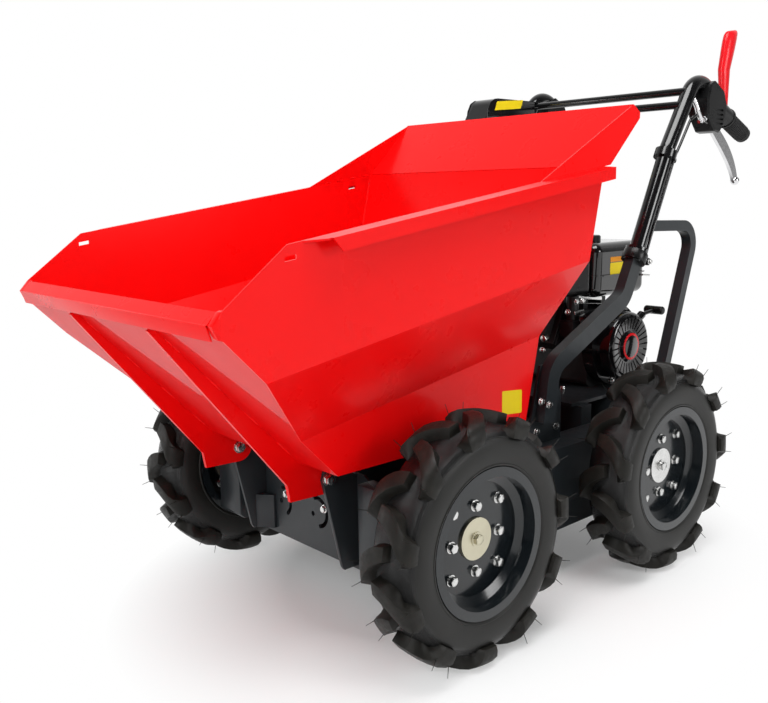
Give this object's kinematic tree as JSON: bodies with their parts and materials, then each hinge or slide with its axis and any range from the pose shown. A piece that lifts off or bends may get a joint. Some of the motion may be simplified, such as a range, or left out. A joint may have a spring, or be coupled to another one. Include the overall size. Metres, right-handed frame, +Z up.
{
  "type": "walk-behind site dumper",
  "caption": "Walk-behind four-wheel-drive site dumper: a forward-tipping folded steel skip on a low frame with lug-tyred wheels, rear engine and twin handlebars.",
  "frame": {"origin": "on the ground under the middle of the machine's overall length and width", "axes": "+X forward over the skip's lip, +Y to the machine's left, +Z up"},
  "size_m": [1.7572, 0.882, 1.2644],
  "materials": {
    "bar_paint": "gloss black powder coat",
    "black_plastic": "moulded black plastic",
    "cable_sheath": "black cable sheath",
    "engine_casting": "black painted die casting",
    "engine_paint": "gloss black enamel on pressed steel",
    "frame_paint": "satin dark blue-grey powder coat",
    "grip_rubber": "ribbed black rubber",
    "muffler_steel": "plain pressed steel, heat-dulled",
    "polished_aluminium": "polished cast aluminium",
    "red_plastic": "red vinyl dip",
    "rim_paint": "satin dark grey paint",
    "skip_paint": "gloss red powder coat on folded sheet steel",
    "tyre_rubber": "moulded black rubber with a fine knurled carcass",
    "zinc": "zinc-plated steel"
  },
  "bodies": {
    "machine": {"air_filter": "black_plastic", "belly_plate": "frame_paint", "blower_housing": "engine_paint", "carburettor": "engine_casting", "clutch_lever": "red_plastic", "console": "bar_paint", "control_cables": "cable_sheath", "cross_tubes": "bar_paint", "engine_block": "engine_casting", "engine_deck": "frame_paint", "engine_head": "engine_casting", "front_plate": "frame_paint", "fuel_cap": "black_plastic", "fuel_tank": "engine_paint", "gearbox": "frame_paint", "grips": "grip_rubber", "handle_clamps": "bar_paint", "handle_lower": "frame_paint", "handle_upper": "bar_paint", "lever_housings": "black_plastic", "muffler": "muffler_steel", "pivot_bolts": "zinc", "pivot_brackets": "frame_paint", "rear_braces": "frame_paint", "recoil_starter": "engine_paint", "side_case_left": "frame_paint", "side_case_right": "frame_paint", "starter_handle": "black_plastic", "steering_levers": "polished_aluminium", "uprights": "frame_paint"},
    "skip": {"skip_floor": "skip_paint", "skip_lip": "skip_paint", "skip_rear_guard": "skip_paint", "skip_rear_wall": "skip_paint", "skip_ribs": "skip_paint", "skip_rims": "skip_paint", "skip_side_left": "skip_paint", "skip_side_right": "skip_paint"},
    "wheel_front_left": {"tyre_front_left": "tyre_rubber", "rim_front_left": "rim_paint", "hub_front_left": "zinc"},
    "wheel_front_right": {"tyre_front_right": "tyre_rubber", "rim_front_right": "rim_paint", "hub_front_right": "zinc"},
    "wheel_rear_left": {"tyre_rear_left": "tyre_rubber", "rim_rear_left": "rim_paint", "hub_rear_left": "zinc"},
    "wheel_rear_right": {"tyre_rear_right": "tyre_rubber", "rim_rear_right": "rim_paint", "hub_rear_right": "zinc"}
  },
  "joints": [
    {"name": "skip_tip", "type": "hinge", "parent": "machine", "child": "skip", "pos_m": [0.52275, 0, 0.332], "axis": [0, 1, 0], "range_deg": [0, 75]},
    {"name": "wheel_front_left_spin", "type": "hinge", "parent": "machine", "child": "wheel_front_left", "pos_m": [0.36575, 0.381, 0.236], "axis": [0, 1, 0], "continuous": true},
    {"name": "wheel_front_right_spin", "type": "hinge", "parent": "machine", "child": "wheel_front_right", "pos_m": [0.36575, -0.381, 0.236], "axis": [0, 1, 0], "continuous": true},
    {"name": "wheel_rear_left_spin", "type": "hinge", "parent": "machine", "child": "wheel_rear_left", "pos_m": [-0.26425, 0.381, 0.236], "axis": [0, 1, 0], "continuous": true},
    {"name": "wheel_rear_right_spin", "type": "hinge", "parent": "machine", "child": "wheel_rear_right", "pos_m": [-0.26425, -0.381, 0.236], "axis": [0, 1, 0], "continuous": true}
  ]
}
